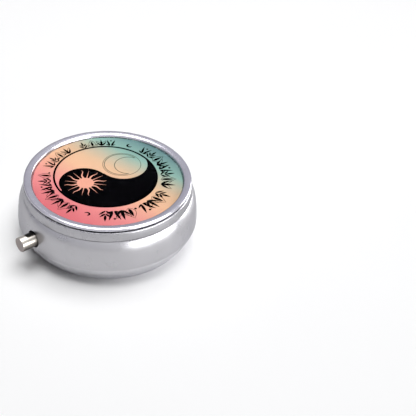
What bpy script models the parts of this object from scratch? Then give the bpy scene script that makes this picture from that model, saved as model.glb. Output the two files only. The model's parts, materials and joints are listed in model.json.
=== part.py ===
"""Round push-button travel pill organizer, lid closed, at real size in metres.

The box stands on its flat bottom at z = 0 with its axis on Z. The button is at
the front (-Y) and the hinge at the back (+Y). Lengths below are millimetres.
"""

import math

import bmesh
import bpy

MM = 0.001
GAP = 0.3  # clearance left between neighbouring pieces
SEGMENTS = 64  # facets round the large turned pieces
SMALL_SEGMENTS = 24  # facets round the button, pins and holes
SHARP_ANGLE = math.radians(32)

# Outline of the closed box
BODY_RADIUS = 25.0  # widest, at the lower crease
LOWER_CREASE_Z = 5.2
UPPER_CREASE_RADIUS = 24.7
UPPER_CREASE_Z = 10.3
RIM_RADIUS = 23.5
RIM_Z = 13.8  # top of the base, where the lid closes
FOOT_RADIUS = 21.9
WALL = 0.7
FLOOR_LOW_Z = 0.8
FLOOR_TOP_Z = 1.4
PLATE_RADIUS = 21.0
PLATE_THICKNESS = 0.5

# Lid
LID_BAND_Z = RIM_Z + GAP
LID_TOP_Z = 16.7
LID_SKIN = 0.5
BAND_INNER_RADIUS = 22.85
BEZEL_RADIUS = 23.15
BEZEL_INNER_RADIUS = 20.9
BEZEL_LOW_Z = LID_TOP_Z + GAP
TOP_Z = 18.0
DISC_RADIUS = 20.55
PAN_Z = LID_TOP_Z - 0.3  # the lid's top inside the rim that carries the bezel
DISC_Z = (PAN_Z + 0.25, PAN_Z + 0.45)
COVER_Z = (PAN_Z + 0.7, PAN_Z + 0.95)
COVER_CROWN = 0.15
LINER_RADIUS = 21.3
LINER_Z = (PAN_Z - 2.4, PAN_Z - 2.0)
TAB_Z = (PAN_Z - 1.15, PAN_Z - 0.8)

# Compartment tray
TRAY_RADIUS = 21.3
TRAY_WALL = 0.9
TRAY_Z = (FLOOR_TOP_Z + GAP, RIM_Z - 0.2)
POCKET_FLOOR_Z = 2.6
DIVIDER = 1.0
NOTCH_HALF_WIDTH = 3.9
NOTCH_BACK_Y = -14.8
EASE = 7  # degrees of the pocket wall given to each corner fillet

# Button, latch and its bracket, all on an axis along Y
BUTTON_Z = 8.0
BUTTON_RADIUS = 2.05
BUTTON_TIP_Y = -29.2
BUTTON_BACK_Y = -22.9
STEM_RADIUS = 1.2
PIN_RADIUS = 0.7
SHOULDER_Y = -21.15
STEM_END_Y = -16.9
CLIP_Y = (-22.45, -22.1)
CLIP_RADIUS = 2.5
GUIDE_Y = (-23.3, -22.8)
GUIDE_RADII = (2.35, 2.85)
HOLE_RADIUS = 2.6
HOOK_HALF_WIDTH = 2.0
HOOK_Y = (-20.9, -20.4)
BRACKET_HALF_WIDTH = 3.4
BRACKET_WALL_Y = (-16.6, -16.15)
CATCH_HALF_WIDTH = 3.2
CATCH_Y = (-22.4, -21.9)
CATCH_LOW_Z = 12.0
WINDOW_Z = (12.6, 13.75)
NOSE_Z = (12.75, 13.4)

# Hinge, on an axis along X
HINGE_Y = 23.0
HINGE_Z = RIM_Z + GAP / 2
KNUCKLE_RADIUS = 0.9
KNUCKLE_BORE = 0.55
HINGE_PIN_RADIUS = 0.35
HINGE_HALF_WIDTH = 4.8
LID_KNUCKLE_X = (1.5, 2.7)
SLOT_HALF_WIDTH = 5.3
SLOT_Z = (HINGE_Z - KNUCKLE_RADIUS - 0.4, HINGE_Z + KNUCKLE_RADIUS + 0.35)
KNUCKLE_CUT_Z = (HINGE_Z - 1.35, HINGE_Z + 1.25)
LEAF_Y = (22.12, 22.47)

# Rivets: (x, y) places and sizes
RIVET_RADIUS = 0.45
RIVET_HOLE = 0.75
RIVET_HEAD_RADIUS = 1.0
FOOT_RIVETS = ((-2.1, -18.4), (2.1, -18.4))
RIVET_CUT_Z = (TAB_Z[0] - 0.4, TAB_Z[1] + 0.3)
LID_RIVETS = ((-1.7, -18.8), (1.7, -18.8), (-1.6, 17.2), (1.6, 17.2))


def clear_scene():
    for obj in list(bpy.data.objects):
        bpy.data.objects.remove(obj, do_unlink=True)


def material(name, colour, roughness, metallic, alpha=1.0):
    made = bpy.data.materials.new(name)
    made.use_nodes = True
    shader = made.node_tree.nodes["Principled BSDF"]
    shader.inputs["Base Color"].default_value = (*colour, 1.0)
    shader.inputs["Roughness"].default_value = roughness
    shader.inputs["Metallic"].default_value = metallic
    shader.inputs["Alpha"].default_value = alpha
    made.diffuse_color = (*colour, alpha)
    return made


def place(along, point):
    """Turns a point built round Z so that its Z runs along the named axis."""
    x, y, z = point
    if along == "X":
        x, y, z = z, x, y
    elif along == "Y":
        x, y, z = x, z, -y
    return x, y, z


def solid(name, points, faces, look, origin=(0.0, 0.0, 0.0)):
    """A closed mesh object facing out, from points in millimetres, with its origin at origin."""
    mesh = bpy.data.meshes.new(name)
    moved = [[(p[k] - origin[k]) * MM for k in range(3)] for p in points]
    mesh.from_pydata(moved, [], faces)
    work = bmesh.new()
    work.from_mesh(mesh)
    bmesh.ops.recalc_face_normals(work, faces=work.faces)
    if work.calc_volume(signed=True) < 0:
        bmesh.ops.reverse_faces(work, faces=work.faces)
    work.to_mesh(mesh)
    work.free()
    mesh.polygons.foreach_set("use_smooth", [True] * len(mesh.polygons))
    mesh.set_sharp_from_angle(angle=SHARP_ANGLE)
    obj = bpy.data.objects.new(name, mesh)
    obj.location = [v * MM for v in origin]
    bpy.context.scene.collection.objects.link(obj)
    if look:
        mesh.materials.append(look)
    else:
        obj.hide_render = True
        obj.display_type = "WIRE"
    return obj


def turned(name, profile, look, along="Z", centre=(0, 0), segments=SEGMENTS, origin=(0, 0, 0)):
    """Revolves a closed (radius, height) profile. Points at radius 0 become single poles."""
    points, rings = [], []
    for radius, height in profile:
        if radius < 1e-6:
            rings.append([len(points)] * segments)
            points.append((0.0, 0.0, height))
            continue
        rings.append(list(range(len(points), len(points) + segments)))
        for k in range(segments):
            angle = 2 * math.pi * k / segments
            points.append((radius * math.cos(angle), radius * math.sin(angle), height))
    faces = []
    for a, b in zip(rings, rings[1:] + rings[:1]):
        for k in range(segments):
            n = (k + 1) % segments
            corners = list(dict.fromkeys((a[k], a[n], b[n], b[k])))
            if len(corners) > 2:
                faces.append(corners)
    turned_points = []
    for point in points:
        x, y, z = place(along, point)
        if along == "Z":
            turned_points.append((x + centre[0], y + centre[1], z))
        elif along == "Y":
            turned_points.append((x + centre[0], y, z + centre[1]))
        else:
            turned_points.append((x, y + centre[0], z + centre[1]))
    return solid(name, turned_points, faces, look, origin)


def tube_profile(inner, outer, low, high, edge=0.0):
    """A rectangle in (radius, height) with its outer corners eased by edge."""
    points = [(inner, low), (outer - edge, low)]
    if edge:
        points += [(outer, low + edge), (outer, high - edge)]
    else:
        points += [(outer, low)]
    return points + [(outer - edge, high), (inner, high)]


def prism(name, outline, low, high, look, along="Z", origin=(0, 0, 0)):
    """Extrudes an outline from low to high along an axis; for X the outline is (y, z)."""
    count = len(outline)
    points = [place(along, (u, v, w)) for w in (low, high) for u, v in outline]
    faces = [list(range(count))[::-1], list(range(count, 2 * count))]
    for k in range(count):
        n = (k + 1) % count
        faces.append([k, n, n + count, k + count])
    return solid(name, points, faces, look, origin)


def block(name, x, y, z):
    """A rectangular cutter."""
    outline = [(x[0], y[0]), (x[1], y[0]), (x[1], y[1]), (x[0], y[1])]
    return prism(name, outline, z[0], z[1], None)


def cut(target, *cutters):
    for cutter in cutters:
        modifier = target.modifiers.new("cut " + cutter.name, "BOOLEAN")
        modifier.operation = "DIFFERENCE"
        modifier.solver = "EXACT"
        modifier.object = cutter
    return target


def bulge(start, end, rise, count):
    """Points from start to end on a shallow arc that stands out by rise at its middle."""
    dr, dz = end[0] - start[0], end[1] - start[1]
    length = math.hypot(dr, dz)
    out = []
    for k in range(count + 2):
        t = k / (count + 1)
        lift = 4 * rise * t * (1 - t)
        out.append((start[0] + dr * t + lift * dz / length, start[1] + dz * t - lift * dr / length))
    return out


def arc(centre, radius, start, end, count):
    """Points on an arc between two angles in degrees, both ends included."""
    out = []
    for k in range(count + 1):
        angle = math.radians(start + (end - start) * k / count)
        out.append((centre[0] + radius * math.cos(angle), centre[1] + radius * math.sin(angle)))
    return out


def rounded(corners, steps=4):
    """An outline from (x, y, fillet radius) corners; a radius of 0 keeps the point."""
    out = []
    for k, (x, y, radius) in enumerate(corners):
        if not radius:
            out.append((x, y))
            continue
        ax, ay = corners[k - 1][0] - x, corners[k - 1][1] - y
        following = corners[(k + 1) % len(corners)]
        bx, by = following[0] - x, following[1] - y
        la, lb = math.hypot(ax, ay), math.hypot(bx, by)
        half = 0.5 * math.acos((ax * bx + ay * by) / (la * lb))
        reach = radius / math.tan(half)
        start = (x + ax / la * reach, y + ay / la * reach)
        end = (x + bx / lb * reach, y + by / lb * reach)
        for s in range(steps + 1):
            t = s / steps
            u, v, w = (1 - t) ** 2, 2 * t * (1 - t), t * t
            out.append((u * start[0] + v * x + w * end[0], u * start[1] + v * y + w * end[1]))
    return out


def wire(name, path, radius, look, sides=6, origin=(0, 0, 0)):
    """A round wire along a path of points, with flat ends."""
    points = []
    for k, here in enumerate(path):
        before, after = path[max(k - 1, 0)], path[min(k + 1, len(path) - 1)]
        way = [after[i] - before[i] for i in range(3)]
        length = math.sqrt(sum(v * v for v in way))
        way = [v / length for v in way]
        if k == 0:
            side = [0.0, 0.0, 1.0] if abs(way[2]) < 0.8 else [1.0, 0.0, 0.0]
        along = sum(side[i] * way[i] for i in range(3))
        side = [side[i] - along * way[i] for i in range(3)]
        length = math.sqrt(sum(v * v for v in side))
        side = [v / length for v in side]
        third = [
            way[1] * side[2] - way[2] * side[1],
            way[2] * side[0] - way[0] * side[2],
            way[0] * side[1] - way[1] * side[0],
        ]
        for s in range(sides):
            c = radius * math.cos(2 * math.pi * s / sides)
            d = radius * math.sin(2 * math.pi * s / sides)
            points.append([here[i] + c * side[i] + d * third[i] for i in range(3)])
    faces = [list(range(sides))[::-1], list(range(len(points) - sides, len(points)))]
    for k in range(len(path) - 1):
        for s in range(sides):
            n = (s + 1) % sides
            a, b = k * sides, (k + 1) * sides
            faces.append([a + s, a + n, b + n, b + s])
    return solid(name, points, faces, look, origin)


def rivet_holes(target, places, low, high):
    for k, place_xy in enumerate(places):
        name = f"hole_{target.name}_{k}"
        profile = tube_profile(0, RIVET_HOLE, low, high)
        cut(target, turned(name, profile, None, "Z", place_xy, 12))


def base_shell(look):
    outer = [(0, FLOOR_LOW_Z), (PLATE_RADIUS + GAP, FLOOR_LOW_Z)]
    outer += [(PLATE_RADIUS + GAP, 0.12), (PLATE_RADIUS + 0.42, 0), (FOOT_RADIUS, 0)]
    outer += bulge((FOOT_RADIUS + 0.2, 0.12), (BODY_RADIUS - 0.16, LOWER_CREASE_Z - 0.3), 0.3, 4)
    outer += bulge((BODY_RADIUS, LOWER_CREASE_Z + 0.15),
                   (UPPER_CREASE_RADIUS, UPPER_CREASE_Z), 0.06, 2)
    outer += bulge((UPPER_CREASE_RADIUS - 0.02, UPPER_CREASE_Z + 0.12),
                   (RIM_RADIUS, RIM_Z - 0.12), 0.2, 3)
    outer += [(RIM_RADIUS - 0.12, RIM_Z)]
    inner = [(RIM_RADIUS - WALL + 0.12, RIM_Z), (RIM_RADIUS - WALL + 0.1, RIM_Z - 0.3)]
    inner += [(RIM_RADIUS, UPPER_CREASE_Z + 1.75), (UPPER_CREASE_RADIUS - WALL, UPPER_CREASE_Z)]
    inner += [(BODY_RADIUS - WALL, LOWER_CREASE_Z + 0.2), (BODY_RADIUS - 1.2, LOWER_CREASE_Z - 0.8)]
    inner += [(FOOT_RADIUS + 0.35, FLOOR_TOP_Z + 0.35), (FOOT_RADIUS - 0.15, FLOOR_TOP_Z)]
    inner += [(0, FLOOR_TOP_Z)]
    shell = turned("base_shell", outer + inner, look)
    hole = turned("hole_button", tube_profile(0, HOLE_RADIUS, -27, -20), None, "Y", (0, BUTTON_Z),
                  SMALL_SEGMENTS)
    slot = block("slot_base_hinge", (-SLOT_HALF_WIDTH, SLOT_HALF_WIDTH), (21, 27), SLOT_Z)
    cut(shell, hole, slot)
    rivet_holes(shell, FOOT_RIVETS, 0.2, 1.6)


def bottom_plate(look):
    profile = [(0, 0), (PLATE_RADIUS - 0.15, 0), (PLATE_RADIUS, 0.15),
               (PLATE_RADIUS, PLATE_THICKNESS), (0, PLATE_THICKNESS)]
    turned("bottom_plate", profile, look)


def pill_tray(look):
    edge = math.degrees(math.asin(NOTCH_HALF_WIDTH / TRAY_RADIUS))
    rim = arc((0, 0), TRAY_RADIUS, -90 + edge, 270 - edge, SEGMENTS)
    notch = [(-NOTCH_HALF_WIDTH, NOTCH_BACK_Y, 0.8), (NOTCH_HALF_WIDTH, NOTCH_BACK_Y, 0.8)]
    outline = rounded([(x, y, 0) for x, y in rim] + notch)
    tray = prism("pill_tray", outline, TRAY_Z[0], TRAY_Z[1], look)
    reach = TRAY_RADIUS - TRAY_WALL
    half = DIVIDER / 2
    lean = math.degrees(math.asin(half / reach))
    back = [(x, y, 0) for x, y in arc((0, 0), reach, 30 + lean + EASE, 150 - lean - EASE, 20)]
    first, last = arc((0, 0), reach, 30 + lean, 150 - lean, 1)
    back = [(*first, 1.2)] + back + [(*last, 1.2), (0, half / math.cos(math.radians(30)), 2.5)]
    cut(tray, prism("pocket_back", rounded(back), POCKET_FLOOR_Z, 15, None))
    wall_x = NOTCH_HALF_WIDTH + TRAY_WALL
    wall_y = NOTCH_BACK_Y + TRAY_WALL
    low = -90 + math.degrees(math.asin(wall_x / reach))
    for side, name in ((1, "pocket_right"), (-1, "pocket_left")):
        curve = arc((0, 0), reach, low + EASE, 30 - lean - EASE, 20)
        first, last = arc((0, 0), reach, low, 30 - lean, 1)
        shape = [(*first, 1.2)] + [(x, y, 0) for x, y in curve] + [(*last, 1.2)]
        shape += [(half, -half * math.tan(math.radians(30)), 2.5), (half, wall_y, 1.5)]
        shape += [(wall_x, wall_y, 0.8)]
        outline = [(side * x, y) for x, y in rounded(shape)]
        cut(tray, prism(name, outline, POCKET_FLOOR_Z, 15, None))


def latch_bracket(look):
    low = FLOOR_TOP_Z + GAP
    thick = 0.45
    outline = [(-20.2, low), (BRACKET_WALL_Y[1] - 0.2, low), (BRACKET_WALL_Y[1], low + 0.2),
               (BRACKET_WALL_Y[1], 11.9), (BRACKET_WALL_Y[0], 11.9),
               (BRACKET_WALL_Y[0], low + thick), (-20.2, low + thick)]
    bracket = prism("latch_bracket", outline, -BRACKET_HALF_WIDTH, BRACKET_HALF_WIDTH, look, "X")
    cut(bracket, turned("hole_bracket", tube_profile(0, PIN_RADIUS + 0.35, -18, -15), None, "Y",
                        (0, BUTTON_Z), SMALL_SEGMENTS))
    rivet_holes(bracket, FOOT_RIVETS, 1.5, 3.0)


def rivets(name, places, shank_end, head, look, origin=(0, 0, 0)):
    """One numbered rivet at each place; head is its height range."""
    below = shank_end > head[1]
    face, top = (head[1], head[0]) if below else head
    crown = top + 0.12 if below else top - 0.12
    profile = [(0, shank_end), (RIVET_RADIUS, shank_end), (RIVET_RADIUS, face),
               (RIVET_HEAD_RADIUS, face), (RIVET_HEAD_RADIUS, crown),
               (RIVET_HEAD_RADIUS - 0.25, top), (0, top)]
    for number, place_xy in enumerate(places, 1):
        turned(f"{name}_{number}", profile, look, "Z", place_xy, 12, origin)


def button_spring(look):
    turns, steps = 4, 14
    start, end = HOOK_Y[1] + 0.35, BRACKET_WALL_Y[0] - 0.35
    radius = 1.3
    path = []
    for k in range(turns * steps + 1):
        angle = 2 * math.pi * k / steps
        y = start + (end - start) * k / (turns * steps)
        path.append((radius * math.cos(angle), y, BUTTON_Z + radius * math.sin(angle)))
    wire("button_spring", path, 0.17, look)


def button_guide(look):
    profile = tube_profile(GUIDE_RADII[0], GUIDE_RADII[1], GUIDE_Y[0], GUIDE_Y[1])
    turned("button_guide", profile, look, "Y", (0, BUTTON_Z), SMALL_SEGMENTS + 8)


def button_plunger(look, origin):
    groove = 0.8
    profile = [(0, BUTTON_TIP_Y), (BUTTON_RADIUS - 0.2, BUTTON_TIP_Y),
               (BUTTON_RADIUS - 0.06, BUTTON_TIP_Y + 0.06), (BUTTON_RADIUS, BUTTON_TIP_Y + 0.22),
               (BUTTON_RADIUS, BUTTON_BACK_Y), (STEM_RADIUS, BUTTON_BACK_Y),
               (STEM_RADIUS, CLIP_Y[0] - 0.1), (groove, CLIP_Y[0] - 0.1),
               (groove, CLIP_Y[1] + 0.1), (STEM_RADIUS, CLIP_Y[1] + 0.1),
               (STEM_RADIUS, SHOULDER_Y), (PIN_RADIUS, SHOULDER_Y),
               (PIN_RADIUS, STEM_END_Y - 0.15), (PIN_RADIUS - 0.15, STEM_END_Y), (0, STEM_END_Y)]
    turned("button_plunger", profile, look, "Y", (0, BUTTON_Z), SMALL_SEGMENTS + 8, origin)


def retaining_clip(look, origin):
    inner, steps = 1.05, 18
    ring = arc((0, 0), CLIP_RADIUS, 235, -55, steps) + arc((0, 0), inner, -40, 220, steps)
    outline = [(x, -z) for x, z in ring]
    clip = prism("retaining_clip", outline, CLIP_Y[0], CLIP_Y[1], look, "Y", origin)
    for vertex in clip.data.vertices:
        vertex.co.z += BUTTON_Z * MM
    return clip


def latch_hook(look, origin):
    low, high = NOSE_Z
    outline = [(HOOK_Y[0], BUTTON_Z - 2.4), (HOOK_Y[1], BUTTON_Z - 2.4), (HOOK_Y[1], high - 0.2),
               (HOOK_Y[1] - 0.2, high), (HOOK_Y[0] - 0.2, high), (CATCH_Y[1] + GAP, low + 0.25),
               (CATCH_Y[1] + GAP, low), (HOOK_Y[0], low)]
    hook = prism("latch_hook", outline, -HOOK_HALF_WIDTH, HOOK_HALF_WIDTH, look, "X", origin)
    cut(hook, turned("hole_hook", tube_profile(0, PIN_RADIUS + 0.25, -22, -19), None, "Y",
                     (0, BUTTON_Z), SMALL_SEGMENTS))


def lid_shell(look, origin):
    profile = [(BAND_INNER_RADIUS, LID_BAND_Z), (RIM_RADIUS - 0.12, LID_BAND_Z),
               (RIM_RADIUS, LID_BAND_Z + 0.12)]
    profile += bulge((RIM_RADIUS - 0.01, LID_BAND_Z + 0.5), (BEZEL_RADIUS + 0.07, LID_TOP_Z - 0.3),
                     0.04, 2)
    profile += [(BEZEL_RADIUS - 0.1, LID_TOP_Z), (BEZEL_INNER_RADIUS + 0.1, LID_TOP_Z),
                (BEZEL_INNER_RADIUS - 0.1, PAN_Z), (0, PAN_Z), (0, PAN_Z - LID_SKIN),
                (BAND_INNER_RADIUS - 0.5, PAN_Z - LID_SKIN),
                (BAND_INNER_RADIUS, PAN_Z - LID_SKIN - 0.5)]
    shell = turned("lid_shell", profile, look, origin=origin)
    slot = block("slot_lid_hinge", (-SLOT_HALF_WIDTH, SLOT_HALF_WIDTH), (21, 27), SLOT_Z)
    cut(shell, slot)


def bezel_ring(look, origin):
    profile = [(BEZEL_INNER_RADIUS, BEZEL_LOW_Z), (BEZEL_RADIUS - 0.25, BEZEL_LOW_Z)]
    profile += arc((BEZEL_RADIUS - 0.45, BEZEL_LOW_Z + 0.55), 0.45, -30, 100, 6)
    profile += [(BEZEL_RADIUS - 0.9, TOP_Z - 0.14), (BEZEL_INNER_RADIUS + 0.55, TOP_Z - 0.14),
                (BEZEL_INNER_RADIUS + 0.4, TOP_Z - 0.04), (BEZEL_INNER_RADIUS + 0.25, TOP_Z - 0.06),
                (BEZEL_INNER_RADIUS, TOP_Z - 0.34)]
    turned("bezel_ring", profile, look, origin=origin)


def print_disc(look, origin):
    turned("print_disc", tube_profile(0, DISC_RADIUS, DISC_Z[0], DISC_Z[1]), look, origin=origin)


def clear_cover(look, origin):
    edge = 0.08
    profile = [(0, COVER_Z[0]), (DISC_RADIUS, COVER_Z[0]), (DISC_RADIUS, COVER_Z[1] - edge),
               (DISC_RADIUS - edge, COVER_Z[1])]
    for share in (0.8, 0.55, 0.3):
        profile.append((DISC_RADIUS * share, COVER_Z[1] + COVER_CROWN * (1 - share * share)))
    profile.append((0, COVER_Z[1] + COVER_CROWN))
    turned("clear_cover", profile, look, origin=origin)


def lid_liner(look, origin):
    low, high = LINER_Z
    profile = [(0, low), (LINER_RADIUS - 1.2, low), (LINER_RADIUS - 1.0, low + 0.1),
               (LINER_RADIUS - 0.15, low + 0.1), (LINER_RADIUS, low + 0.2),
               (LINER_RADIUS, high + 0.1), (LINER_RADIUS - 0.9, high + 0.1),
               (LINER_RADIUS - 1.1, high), (0, high)]
    turned("lid_liner", profile, look, origin=origin)


def lid_catch(look, origin):
    outline = [(-16.5, TAB_Z[0]), (-16.5, TAB_Z[1]), (CATCH_Y[0] + 0.35, TAB_Z[1]),
               (CATCH_Y[0] + 0.1, TAB_Z[1] - 0.1), (CATCH_Y[0], TAB_Z[1] - 0.35),
               (CATCH_Y[0], CATCH_LOW_Z + 0.15), (CATCH_Y[0] + 0.15, CATCH_LOW_Z),
               (CATCH_Y[1], CATCH_LOW_Z + 0.35),
               (CATCH_Y[1], TAB_Z[0])]
    catch = prism("lid_catch", outline, -CATCH_HALF_WIDTH, CATCH_HALF_WIDTH, look, "X", origin)
    cut(catch, block("window_catch", (-HOOK_HALF_WIDTH - GAP, HOOK_HALF_WIDTH + GAP),
                     (-23.5, -21.3), WINDOW_Z))
    rivet_holes(catch, LID_RIVETS[:2], *RIVET_CUT_Z)


def hinge_base_leaf(look):
    low = 6.5
    outline = [(LEAF_Y[0], low), (23.35, low), (23.35, low + 0.4), (LEAF_Y[1], low + 0.4)]
    outline += arc((HINGE_Y, HINGE_Z), KNUCKLE_RADIUS, 234, 538, 20)
    leaf = prism("hinge_base_leaf", outline, -HINGE_HALF_WIDTH, HINGE_HALF_WIDTH, look, "X")
    inner = LID_KNUCKLE_X[1] + GAP
    cut(leaf, hinge_bore("bore_base_leaf"),
        block("gap_base_leaf", (-inner, inner), (21.5, 24.5), KNUCKLE_CUT_Z))


def hinge_lid_leaf(look, origin):
    outline = [(14.5, TAB_Z[0]), (LEAF_Y[0], TAB_Z[0])]
    outline += arc((HINGE_Y, HINGE_Z), KNUCKLE_RADIUS, 182, 486, 20)
    outline += [(LEAF_Y[1], TAB_Z[1] - 0.3), (LEAF_Y[1] - 0.27, TAB_Z[1]), (14.5, TAB_Z[1])]
    leaf = prism("hinge_lid_leaf", outline, -LID_KNUCKLE_X[1], LID_KNUCKLE_X[1], look, "X", origin)
    inner = LID_KNUCKLE_X[0]
    cut(leaf, hinge_bore("bore_lid_leaf"),
        block("gap_lid_leaf", (-inner, inner), (21.2, 24.5), KNUCKLE_CUT_Z))
    rivet_holes(leaf, LID_RIVETS[2:], *RIVET_CUT_Z)


def hinge_bore(name):
    return turned(name, tube_profile(0, KNUCKLE_BORE, -7, 7), None, "X", (HINGE_Y, HINGE_Z),
                  SMALL_SEGMENTS)


def hinge_pin(look):
    end = HINGE_HALF_WIDTH + 0.15
    profile = [(0, -end), (HINGE_PIN_RADIUS - 0.1, -end), (HINGE_PIN_RADIUS, 0.1 - end),
               (HINGE_PIN_RADIUS, end - 0.1), (HINGE_PIN_RADIUS - 0.1, end), (0, end)]
    turned("hinge_pin", profile, look, "X", (HINGE_Y, HINGE_Z), SMALL_SEGMENTS)


def hinge_spring(look):
    radius, reach, turns, steps = 0.62, 1.15, 4.5, 16
    path = [(-reach, 21.85, HINGE_Z - 1.75), (-reach, 21.85, HINGE_Z - 0.85),
            (-reach, 22.02, HINGE_Z - 0.65)]
    count = round(turns * steps)
    for k in range(count + 1):
        angle = math.radians(-90) + 2 * math.pi * k / steps
        x = reach * (2 * k / count - 1)
        path.append((x, HINGE_Y + radius * math.cos(angle), HINGE_Z + radius * math.sin(angle)))
    path.append((reach, 21.75, HINGE_Z + radius))
    wire("hinge_spring", path, 0.13, look)


def build():
    clear_scene()
    satin = material("satin_nickel", (0.52, 0.52, 0.55), 0.33, 1.0)
    lining = material("lining_metal", (0.62, 0.61, 0.6), 0.3, 1.0)
    polished = material("polished_nickel", (0.72, 0.7, 0.67), 0.12, 1.0)
    steel = material("zinc_steel", (0.45, 0.45, 0.46), 0.38, 1.0)
    spring = material("spring_steel", (0.3, 0.3, 0.31), 0.35, 1.0)
    card = material("printed_card", (0.84, 0.45, 0.4), 0.5, 0.0)
    clear = material("clear_cover", (0.95, 0.96, 0.97), 0.05, 0.0, 0.2)
    plastic = material("tray_plastic", (0.86, 0.86, 0.84), 0.4, 0.0)

    base_shell(satin)
    bottom_plate(material("bottom_metal", (0.5, 0.5, 0.53), 0.36, 1.0))
    pill_tray(plastic)
    latch_bracket(steel)
    floor_top = TRAY_Z[0] + 0.45 + GAP
    rivets("bracket_rivet", FOOT_RIVETS, 0.9, (floor_top, floor_top + 0.35), steel)
    button_guide(steel)
    button_spring(spring)
    hinge_base_leaf(steel)
    hinge_pin(steel)
    hinge_spring(spring)

    press = (0, BUTTON_BACK_Y, BUTTON_Z)
    button_plunger(polished, press)
    retaining_clip(spring, press)
    latch_hook(steel, press)

    hinge = (0, HINGE_Y, HINGE_Z)
    lid_shell(satin, hinge)
    bezel_ring(material("bezel_nickel", (0.56, 0.55, 0.58), 0.25, 1.0), hinge)
    print_disc(card, hinge)
    clear_cover(clear, hinge)
    lid_liner(lining, hinge)
    lid_catch(steel, hinge)
    hinge_lid_leaf(steel, hinge)
    head = (TAB_Z[0] - GAP - 0.25, TAB_Z[0] - GAP)
    rivets("lid_rivet", LID_RIVETS, TAB_Z[1] + 0.1, head, steel, hinge)


build()
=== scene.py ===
"""Looks of the round push-button travel pill organizer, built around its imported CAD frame.

Lengths in this script are millimetres, and MM turns them into Blender's metres. The box stands on
z = 0 with its axis on Z, the button toward -Y and the hinge toward +Y.
"""

import json
import math

import bmesh
import bpy
from mathutils import Matrix, Vector


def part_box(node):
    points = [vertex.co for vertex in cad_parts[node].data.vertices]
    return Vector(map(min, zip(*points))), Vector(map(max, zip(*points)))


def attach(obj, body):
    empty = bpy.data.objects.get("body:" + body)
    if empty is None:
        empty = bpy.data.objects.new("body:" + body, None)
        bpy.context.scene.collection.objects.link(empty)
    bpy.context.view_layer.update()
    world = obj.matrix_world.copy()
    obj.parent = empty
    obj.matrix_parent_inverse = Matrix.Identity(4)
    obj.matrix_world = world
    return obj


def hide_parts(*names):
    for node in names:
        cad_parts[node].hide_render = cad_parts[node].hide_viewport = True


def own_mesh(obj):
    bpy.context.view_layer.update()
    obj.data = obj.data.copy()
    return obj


MM = 0.001
ROUND = 192  # facets round the large turned pieces
SMALL_ROUND = 64  # facets round the button and other small turned pieces
SHARP = 38  # faces that meet at more than this many degrees keep a hard edge

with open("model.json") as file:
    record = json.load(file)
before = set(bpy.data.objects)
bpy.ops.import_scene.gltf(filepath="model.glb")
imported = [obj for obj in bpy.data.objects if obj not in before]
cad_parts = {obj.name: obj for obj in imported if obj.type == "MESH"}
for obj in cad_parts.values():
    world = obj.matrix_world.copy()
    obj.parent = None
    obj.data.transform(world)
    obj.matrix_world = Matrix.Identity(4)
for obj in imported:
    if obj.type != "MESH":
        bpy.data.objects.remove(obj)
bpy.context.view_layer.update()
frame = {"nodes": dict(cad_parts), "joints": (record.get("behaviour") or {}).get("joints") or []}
NODES = frame["nodes"]


def mm_box(node):
    low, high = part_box(node)
    return [v / MM for v in low], [v / MM for v in high]


# ---------------------------------------------------------------- sizes read from the frame
BASE_HIGH = mm_box("base_shell")[1]
LID_LOW, LID_HIGH = mm_box("lid_shell")
BEZEL_LOW, BEZEL_HIGH = mm_box("bezel_ring")
BUTTON_LOW, BUTTON_HIGH = mm_box("button_plunger")
SPRING_LOW, SPRING_HIGH = mm_box("button_spring")
PLATE_HIGH = mm_box("bottom_plate")[1]
TRAY_LOW, TRAY_HIGH = mm_box("pill_tray")
LINER_LOW, LINER_HIGH = mm_box("lid_liner")
COVER_LOW, COVER_HIGH = mm_box("clear_cover")
HINGE = [v / MM for v in frame["joints"][0]["pos_m"]]

BODY_RADIUS = BASE_HIGH[0]
RIM_Z = BASE_HIGH[2]
RIM_RADIUS = LID_HIGH[0]
BEZEL_RADIUS = BEZEL_HIGH[0]
TOP_Z = BEZEL_HIGH[2]
BUTTON_Z = (BUTTON_LOW[2] + BUTTON_HIGH[2]) / 2
BUTTON_RADIUS = (BUTTON_HIGH[2] - BUTTON_LOW[2]) / 2
BUTTON_TIP_Y = BUTTON_LOW[1]


# ---------------------------------------------------------------- mesh helpers
def arc(centre, radius, start, end, count):
    """Points on an arc between two angles in degrees, both ends included."""
    out = []
    for k in range(count + 1):
        angle = math.radians(start + (end - start) * k / count)
        out.append((centre[0] + radius * math.cos(angle), centre[1] + radius * math.sin(angle)))
    return out


def bulge(start, end, rise, count):
    """Points from start to end on a shallow arc that stands out by rise at its middle."""
    dr, dz = end[0] - start[0], end[1] - start[1]
    length = math.hypot(dr, dz)
    out = []
    for k in range(count + 1):
        t = k / count
        lift = 4 * rise * t * (1 - t)
        out.append((start[0] + dr * t + lift * dz / length, start[1] + dz * t - lift * dr / length))
    return out


def circle(centre, radius, count):
    return arc(centre, radius, 0, 360, count)[:-1]


def eased(start, corner, end, steps):
    """Points on the curve that leaves start toward the corner and ends at end."""
    out = []
    for s in range(steps + 1):
        t = s / steps
        u, v, w = (1 - t) ** 2, 2 * t * (1 - t), t * t
        out.append(tuple(u * a + v * b + w * c for a, b, c in zip(start, corner, end)))
    return out


def softened(points, reach, steps=5):
    """An open polyline whose corners are rounded, each starting at most reach from the corner."""
    out = [points[0]]
    for before, here, after in zip(points, points[1:], points[2:]):
        ends = []
        for other in (before, after):
            away = (other[0] - here[0], other[1] - here[1])
            length = math.hypot(*away)
            share = min(reach, 0.45 * length) / length
            ends.append((here[0] + away[0] * share, here[1] + away[1] * share))
        out += eased(ends[0], here, ends[1], steps)
    out.append(points[-1])
    return out


def bridge(work, low, high):
    """Joins two closed rings of as many points with a band of faces."""
    for k in range(len(low)):
        n = (k + 1) % len(low)
        work.faces.new((low[k], low[n], high[n], high[k]))


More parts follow.
